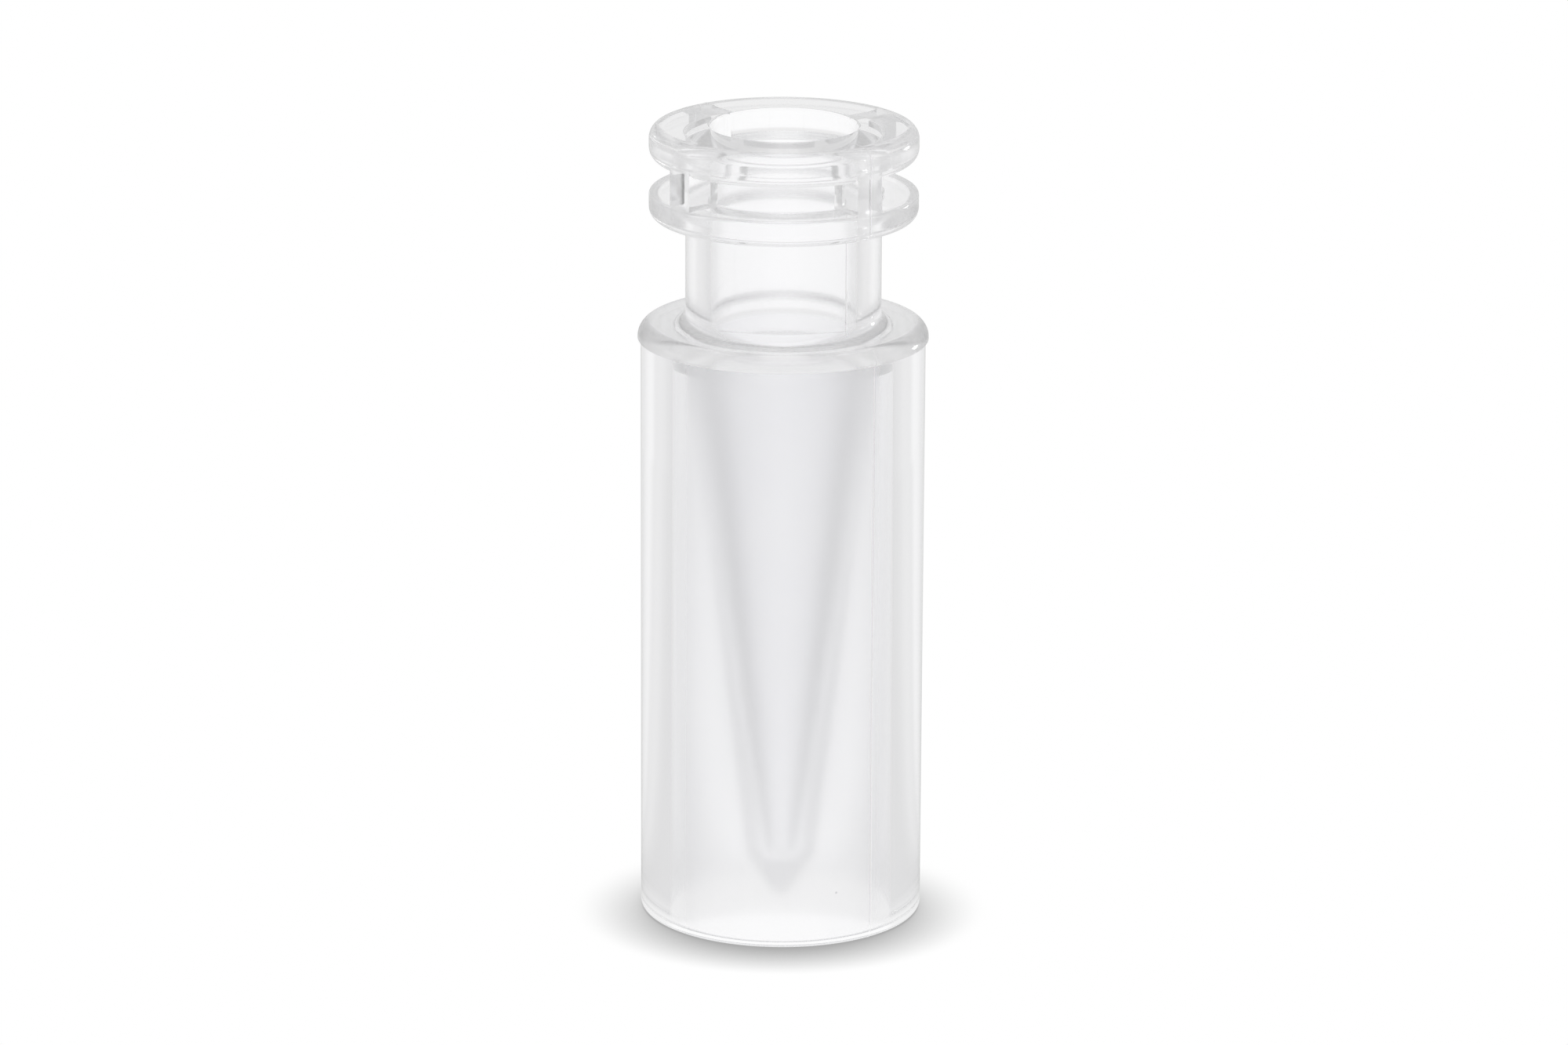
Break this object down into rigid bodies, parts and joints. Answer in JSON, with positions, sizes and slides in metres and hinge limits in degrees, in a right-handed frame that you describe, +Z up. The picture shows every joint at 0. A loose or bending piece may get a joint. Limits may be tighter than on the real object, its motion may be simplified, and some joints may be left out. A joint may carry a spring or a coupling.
{
  "type": "microcentrifuge style sample vial",
  "caption": "Open clear plastic micro vial with a flanged snap and crimp finish, a conical inner reservoir and an open cylindrical outer sleeve to stand on.",
  "frame": {"origin": "centre of the foot ring, on the surface the vial stands on", "axes": "+Z up along the vial's axis, out of the mouth; XZ is the mould's parting plane, which runs through two of the four ribs"},
  "size_m": [0.0116, 0.0116, 0.0325],
  "materials": {
    "clear_vessel": "clear moulded polypropylene, glossy, very faintly hazy",
    "clear_sleeve": "clear moulded polypropylene, glossy, very faintly hazy"
  },
  "bodies": {
    "root": {"inner_vessel": "clear_vessel", "outer_sleeve": "clear_sleeve"}
  },
  "joints": []
}
